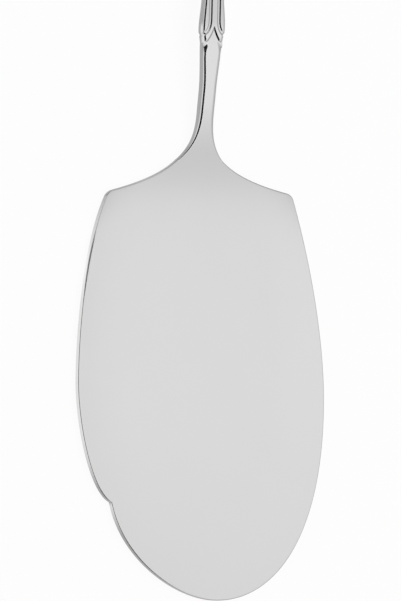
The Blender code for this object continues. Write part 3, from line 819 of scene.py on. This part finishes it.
def lofted(name, rings, marks, hollow):
    """A smooth object from rows of section points, with named marks kept on its points.

    A hollow one gets a wall across its start, and a solid one a cap on its end.
    """
    rows, columns = rings.shape[:2]
    index = np.arange(rows * columns).reshape(rows, columns)
    low, high = index[:-1], index[1:]
    after = np.roll(index, -1, axis=1)
    quads = np.stack((low, after[:-1], after[1:], high), axis=2).reshape(-1, 4).tolist()
    if hollow:
        outer, inner = index[0, :columns // 2], index[0, :columns // 2 - 1:-1]
        quads += np.stack((outer[:-1], outer[1:], inner[1:], inner[:-1]), axis=1).tolist()
    else:
        quads.append(index[-1].tolist())
    data = bpy.data.meshes.new(name)
    data.from_pydata(rings.reshape(-1, 3).tolist(), [], quads)
    for mark, values in marks.items():
        data.attributes.new(mark, "FLOAT", "POINT").data.foreach_set("value", values.ravel())
    mesh = bmesh.new()
    mesh.from_mesh(data)
    bmesh.ops.remove_doubles(mesh, verts=mesh.verts, dist=MERGE_DISTANCE)
    bmesh.ops.dissolve_degenerate(mesh, edges=mesh.edges, dist=MERGE_DISTANCE)
    bmesh.ops.recalc_face_normals(mesh, faces=mesh.faces)
    mesh.to_mesh(data)
    mesh.free()
    data.shade_smooth()
    data.set_sharp_from_angle(angle=SHARP_ANGLE)
    piece = bpy.data.objects.new(name, data)
    bpy.context.scene.collection.objects.link(piece)
    return piece


# Finishes

class Value:
    """A node's output that Python's arithmetic works on, in one shader tree."""

    def __init__(self, tree, socket=None):
        self.tree = tree
        self.socket = socket

    def node(self, kind, settings=None, inputs=None, output=0):
        """Add a node, its settings first and then its sockets' values or links, and return an output."""
        node = self.tree.nodes.new(kind)
        for name, setting in (settings or {}).items():
            setattr(node, name, setting)
        for key, term in (inputs or {}).items():
            self.feed(self.pick(node.inputs, key), term)
        return Value(self.tree, self.pick(node.outputs, output))

    def feed(self, socket, term):
        """Link a socket to a value, or set it to a plain number, colour or vector."""
        if isinstance(term, Value):
            self.tree.links.new(term.socket, socket)
        else:
            socket.default_value = term

    @staticmethod
    def pick(sockets, key):
        """Find a socket by its index, its identifier or its name."""
        if isinstance(key, int):
            return sockets[key]
        return next(socket for socket in sockets if key in (socket.identifier, socket.name))

    def math(self, operation, first, second):
        """Combine two numbers."""
        return self.node("ShaderNodeMath", {"operation": operation}, {0: first, 1: second})

    def __add__(self, other):
        return self.math("ADD", self, other)

    def __radd__(self, other):
        return self.math("ADD", other, self)

    def __sub__(self, other):
        return self.math("SUBTRACT", self, other)

    def __rsub__(self, other):
        return self.math("SUBTRACT", other, self)

    def __mul__(self, other):
        return self.math("MULTIPLY", self, other)

    def __rmul__(self, other):
        return self.math("MULTIPLY", other, self)

    def __pow__(self, other):
        return self.math("POWER", self, other)

    def spanned(self, low, high, rise="LINEAR"):
        """Rise evenly, or as told, from 0 at low to 1 at high."""
        limits = {"Value": self, "From Min": low, "From Max": high}
        return self.node("ShaderNodeMapRange", {"interpolation_type": rise}, limits)

    def smooth(self, low, high):
        """Rise smoothly from 0 at low to 1 at high."""
        return self.spanned(low, high, "SMOOTHSTEP")

    def tinted(self, first, second):
        """Colour between two others."""
        colours = {"Factor_Float": self, "A_Color": first, "B_Color": second}
        return self.node("ShaderNodeMix", {"data_type": "RGBA"}, colours, "Result_Color")

    def place(self):
        """Point in the object's own space."""
        return self.node("ShaderNodeTexCoord", output="Object")

    def part(self, axis):
        """The vector's X, Y or Z."""
        return self.node("ShaderNodeSeparateXYZ", None, {"Vector": self}, axis)

    def stretched(self, scales):
        """The vector with each axis scaled by itself."""
        return self.node("ShaderNodeVectorMath", {"operation": "MULTIPLY"}, {0: self, 1: scales})

    def turned(self, angle):
        """The vector turned about the vertical axis."""
        inputs = {"Vector": self, "Angle": angle}
        return self.node("ShaderNodeVectorRotate", {"rotation_type": "Z_AXIS"}, inputs)

    def noise(self, scale, detail=2.0):
        """Smooth noise over the vector."""
        return self.node("ShaderNodeTexNoise", None, {"Vector": self, "Scale": scale, "Detail": detail})

    def bumped(self, strength, distance):
        """Normal of a surface with this fine relief."""
        inputs = {"Strength": strength, "Distance": distance, "Height": self}
        return self.node("ShaderNodeBump", None, inputs)

    def seen(self):
        """1 for what the camera sees straight on, in metal or through glass, and 0 for lighting."""
        camera, glossy, through = (self.node("ShaderNodeLightPath", output="Is " + kind + " Ray")
                                   for kind in ("Camera", "Glossy", "Transmission"))
        return self.math("MINIMUM", camera + glossy + through, 1.0)

    def glow(self, strength):
        """White light."""
        return self.node("ShaderNodeEmission", None, {"Color": rgba(WHITE), "Strength": strength})

    def surface(self, mask, under, over):
        """Make the material's surface go from one shader to another by a mask."""
        mixed = self.node("ShaderNodeMixShader", None, {0: mask, 1: under, 2: over})
        self.feed(self.tree.nodes["Material Output"].inputs["Surface"], mixed)


def rgba(colour):
    """A colour with full cover."""
    return (*colour, 1.0)


def new_finish(name):
    """A fresh material, its tree and its shader."""
    material = bpy.data.materials.new(name)
    material.use_nodes = True
    shader = material.node_tree.nodes["Principled BSDF"]
    return material, Value(material.node_tree), shader


def dress(tree, shader, sockets):
    """Feed the shader's sockets."""
    for name, term in sockets.items():
        tree.feed(shader.inputs[name], term)


def silver(name, colour, finish):
    """Polished silver with polishing lines, satin side walls darkened by painted shade, tarnish in its
    grooves and painted shade along the lappets' lips.
    """
    material, tree, shader = new_finish(name)
    place = tree.place()
    wall, patina_and_lip_shade = (tree.node("ShaderNodeAttribute", {"attribute_name": mark}, output="Fac")
                    for mark in ("wall_satin_and_shade", "patina_and_lip_shade"))
    cloud = place.noise(*CLOUD_NOISE)
    lines, crossing = (place.turned(layer.angle).stretched(layer.stretch).noise(1.0)
                       for layer in (LINES, CROSSING))
    scratches = lines.smooth(*LINES.scratches) + crossing.smooth(*CROSSING.scratches)
    # Painted shade on the side walls and the lappets' lips, tarnish in the grooves and random clouding
    # darken the silver
    dark = finish.wall_painted_shade * wall + finish.patina_and_lip_shade_share * patina_and_lip_shade + finish.cloud_tarnish * cloud
    dull = CLOUD_ROUGHNESS * (cloud - NOISE_MIDDLE) + finish.wear * (SCRATCH_ROUGHNESS * scratches + wall)
    grain = lines + CROSSING_RELIEF * crossing + SCRATCH_RELIEF * scratches
    dress(tree, shader, {
        "Base Color": dark.tinted(rgba(colour), rgba(finish.tarnish)),
        "Metallic": 1.0,
        "Roughness": dull + finish.roughness,
        "Normal": grain.bumped(*SILVER_BUMP),
    })
    return material


def cement(finish):
    """Set cement with dark grains."""
    material, tree, shader = new_finish("set_cement")
    place = tree.place()
    grain = place.noise(*GRAIN_NOISE)
    patches = place.noise(*PATCH_NOISE)
    dark = grain.smooth(*GRAIN_LIMITS) * GRAIN_SHARE + (1.0 - GRAIN_SHARE) * patches
    dress(tree, shader, {
        "Base Color": dark.tinted(rgba(finish.colour), rgba(finish.dark)),
        "Metallic": 0.0,
        "Roughness": finish.roughness + GRAIN_ROUGHNESS * (grain - NOISE_MIDDLE),
        "Normal": grain.bumped(*CEMENT_BUMP),
    })
    return material


def table_top(studio):
    """Pale table top with a faint mottle, lifted towards white where it is seen."""
    material, tree, shader = new_finish("pale_table")
    mottle = tree.place().noise(*MOTTLE_NOISE)
    dimmed = [MOTTLE_SHADE * channel for channel in studio.floor]
    dress(tree, shader, {
        "Base Color": mottle.tinted(rgba(studio.floor), rgba(dimmed)),
        "Roughness": TABLE_ROUGHNESS,
        "Specular IOR Level": 0.0,
    })
    lit = Value(material.node_tree, shader.outputs["BSDF"])
    tree.surface(tree.seen() * studio.floor_glow, lit, tree.glow(1.0))
    return material


def diffuser(studio):
    """Sheet of the softbox: it adds its glow, which fades towards the tip, to what shines through it."""
    material, tree, _ = new_finish("softbox_sheet")
    clear = tree.node("ShaderNodeBsdfTransparent")
    lit = tree.node("ShaderNodeAddShader", None, {0: tree.glow(studio.box_glow), 1: clear})
    tree.surface(tree.place().part("Y").smooth(*studio.box_fade), clear, lit)
    return material


def dark_card(studio):
    """Felt of the dark card, which pales towards the handle's end."""
    material, tree, shader = new_finish("dark_felt")
    place = tree.place()
    felt = place.noise(*FELT_NOISE).tinted(rgba(FELT_DARK), rgba(FELT_LIGHT))
    dress(tree, shader, {
        "Base Color": place.part("Y").smooth(*studio.card_fade).tinted(felt, rgba(FELT_PALE)),
        "Roughness": 1.0,
        "Specular IOR Level": 0.0,
    })
    return material


def light_tent(studio):
    """World of soft light, brightest above the blade and dimmer towards the horizon."""
    world = bpy.data.worlds.new("light_tent")
    world.use_nodes = True
    tree = Value(world.node_tree)
    way = tree.node("ShaderNodeTexCoord", output="Generated")
    facing = tree.node("ShaderNodeVectorMath", {"operation": "DOT_PRODUCT"},
                       {0: way, 1: studio.tent_top}, "Value")
    rightward, endward = way.part("X"), way.part("Y")
    upward = facing.spanned(*TENT_RISE) ** TENT_POWER
    level = studio.sky_low + (studio.sky_high - studio.sky_low) * upward
    level = level + studio.sky_left * (-1.0 * rightward).smooth(*LEFT_LIMITS)
    level = level + studio.sky_ends * (endward * endward).smooth(*END_LIMITS)
    strip = rightward.smooth(*STRIP_NEAR) * (1.0 - rightward.smooth(*STRIP_FAR))
    background = world.node_tree.nodes["Background"].inputs
    tree.feed(background["Strength"], level + studio.strip * strip)
    tree.feed(background["Color"], rgba(WHITE))
    bpy.context.scene.world = world


# Stage

def plane(name, corners, material):
    """A flat or bent sheet from rows of points."""
    rows, columns = corners.shape[:2]
    index = np.arange(rows * columns).reshape(rows, columns)
    quads = np.stack((index[:-1, :-1], index[:-1, 1:], index[1:, 1:], index[1:, :-1]), axis=2)
    data = bpy.data.meshes.new(name)
    data.from_pydata(corners.reshape(-1, 3).tolist(), [], quads.reshape(-1, 4).tolist())
    data.materials.append(material)
    sheet = bpy.data.objects.new(name, data)
    bpy.context.scene.collection.objects.link(sheet)
    return sheet


def lay_floor(studio):
    """Table top just under the blade's floor."""
    reach = studio.floor_size / 2
    ends = (-reach, reach)
    corners = np.array([[(x, y, -TABLE_DROP) for x in ends] for y in ends])
    plane("table_top", corners, table_top(studio))


def hang_card(studio):
    """Dark card bent round the spoon's left, seen only in reflections."""
    reach = studio.card_reach
    corners = np.array([[(-reach * math.sin(angle), y, reach * math.cos(angle)) for y in studio.card_ends]
                        for angle in np.linspace(*studio.card_edges, CARD_STEPS)])
    plane("dark_card", corners, dark_card(studio)).visible_camera = False


def hang_softbox(studio):
    """Softbox sheet over the blade's lower part, seen only in reflections."""
    corners = np.array([[(x, y, studio.box_height) for x in studio.box_across] for y in studio.box_along])
    plane("softbox", corners, diffuser(studio)).visible_camera = False


def hang_fill(studio):
    """Soft overhead lamp that lights the table and makes no highlight."""
    data = bpy.data.lights.new("overhead_fill", "AREA")
    data.energy = studio.fill
    data.shape = "SQUARE"
    data.size = studio.fill_size
    lamp = bpy.data.objects.new("overhead_fill", data)
    lamp.location = (studio.fill_right, 0.0, studio.fill_height)
    lamp.visible_camera = False
    lamp.visible_glossy = False
    bpy.context.scene.collection.objects.link(lamp)


def set_camera(studio):
    """Camera leaning to the left of overhead and a little towards the tip."""
    data = bpy.data.cameras.new("camera")
    data.sensor_fit = "VERTICAL"
    data.sensor_width = SENSOR
    data.sensor_height = SENSOR
    data.lens = SENSOR * studio.distance / studio.view_height
    data.clip_end = CLIP_END
    right = Vector((math.cos(studio.lean), 0.0, math.sin(studio.lean)))
    back = Vector((-math.sin(studio.lean) * math.cos(studio.dip), -math.sin(studio.dip),
                   math.cos(studio.lean) * math.cos(studio.dip)))
    up = back.cross(right)
    camera = bpy.data.objects.new("camera", data)
    axes = Matrix((right, up, back)).transposed().to_4x4()
    camera.matrix_world = Matrix.Translation(Vector(studio.aim) + back * studio.distance) @ axes
    bpy.context.scene.collection.objects.link(camera)
    bpy.context.scene.camera = camera


# Operators, panel and registration

def place_piece(piece, material, node):
    """Give a piece its finish and its body, and hide the frame node that it stands for."""
    piece.data.materials.append(material)
    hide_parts(node)
    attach(piece, "root")


class SPOON_OT_forge_blade(bpy.types.Operator):
    """Forge the blade with its neck and tang"""

    bl_idname = "spoon.forge_blade"
    bl_label = "Forge Blade"

    def execute(self, context):
        finish = context.scene.spoon_silver
        piece = forging(Spine(context.scene))
        place_piece(piece, silver("blade_silver_polish", finish.blade, finish), "blade")
        return {"FINISHED"}


class SPOON_OT_strike_shells(bpy.types.Operator):
    """Strike the handle's front and back half shells"""

    bl_idname = "spoon.strike_shells"
    bl_label = "Strike Handle Shells"

    def execute(self, context):
        scene = context.scene
        spine = Spine(scene)
        finish = scene.spoon_silver
        material = silver("handle_silver_polish", finish.handle, finish)
        for word, face in (("front", 1.0), ("back", -1.0)):
            piece = half_shell("spoon_handle_" + word, face, scene, spine)
            place_piece(piece, material, "handle_" + word + "_shell")
        return {"FINISHED"}


class SPOON_OT_finish_core(bpy.types.Operator):
    """Give the handle's core its cement"""

    bl_idname = "spoon.finish_core"
    bl_label = "Finish Cement Core"

    def execute(self, context):
        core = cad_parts["handle_filler"]
        core.data.materials.clear()
        core.data.materials.append(cement(context.scene.spoon_cement))
        return {"FINISHED"}


class SPOON_OT_set_stage(bpy.types.Operator):
    """Set the table, the light and the camera"""

    bl_idname = "spoon.set_stage"
    bl_label = "Set Stage"

    def execute(self, context):
        studio = context.scene.spoon_studio
        for step in (lay_floor, hang_card, hang_softbox, hang_fill, light_tent, set_camera):
            step(studio)
        context.scene.view_settings.view_transform = "Standard"
        return {"FINISHED"}


class SPOON_PT_panel(bpy.types.Panel):
    """Sizes, finishes and steps of the serving spoon"""

    bl_idname = "SPOON_PT_panel"
    bl_label = "Rice Serving Spoon"
    bl_space_type = "VIEW_3D"
    bl_region_type = "UI"
    bl_category = "Spoon"

    def draw(self, context):
        layout = self.layout
        for step in STEPS:
            layout.operator(step.bl_idname)
        for name, group in GROUPS.items():
            settings = getattr(context.scene, name)
            box = layout.box()
            box.label(text=group.__doc__)
            for field in group.__annotations__:
                box.prop(settings, field)


GROUPS = {
    "spoon_blade": BladeSizes,
    "spoon_neck": NeckSizes,
    "spoon_handle": HandleSizes,
    "spoon_reed": ReedSizes,
    "spoon_silver": SilverFinish,
    "spoon_cement": CementFinish,
    "spoon_studio": StudioSettings,
}
STEPS = (SPOON_OT_forge_blade, SPOON_OT_strike_shells, SPOON_OT_finish_core, SPOON_OT_set_stage)


def register():
    """Add the classes, and their settings to every scene."""
    for name, group in GROUPS.items():
        bpy.utils.register_class(group)
        setattr(bpy.types.Scene, name, PointerProperty(type=group))
    for step in (*STEPS, SPOON_PT_panel):
        bpy.utils.register_class(step)


def unregister():
    """Take the classes and settings away again."""
    for step in (SPOON_PT_panel, *reversed(STEPS)):
        bpy.utils.unregister_class(step)
    for name, group in reversed(GROUPS.items()):
        delattr(bpy.types.Scene, name)
        bpy.utils.unregister_class(group)


def main():
    """Build the spoon on its stage."""
    register()
    bpy.ops.spoon.forge_blade()
    bpy.ops.spoon.strike_shells()
    bpy.ops.spoon.finish_core()
    bpy.ops.spoon.set_stage()


if __name__ == "__main__":
    main()
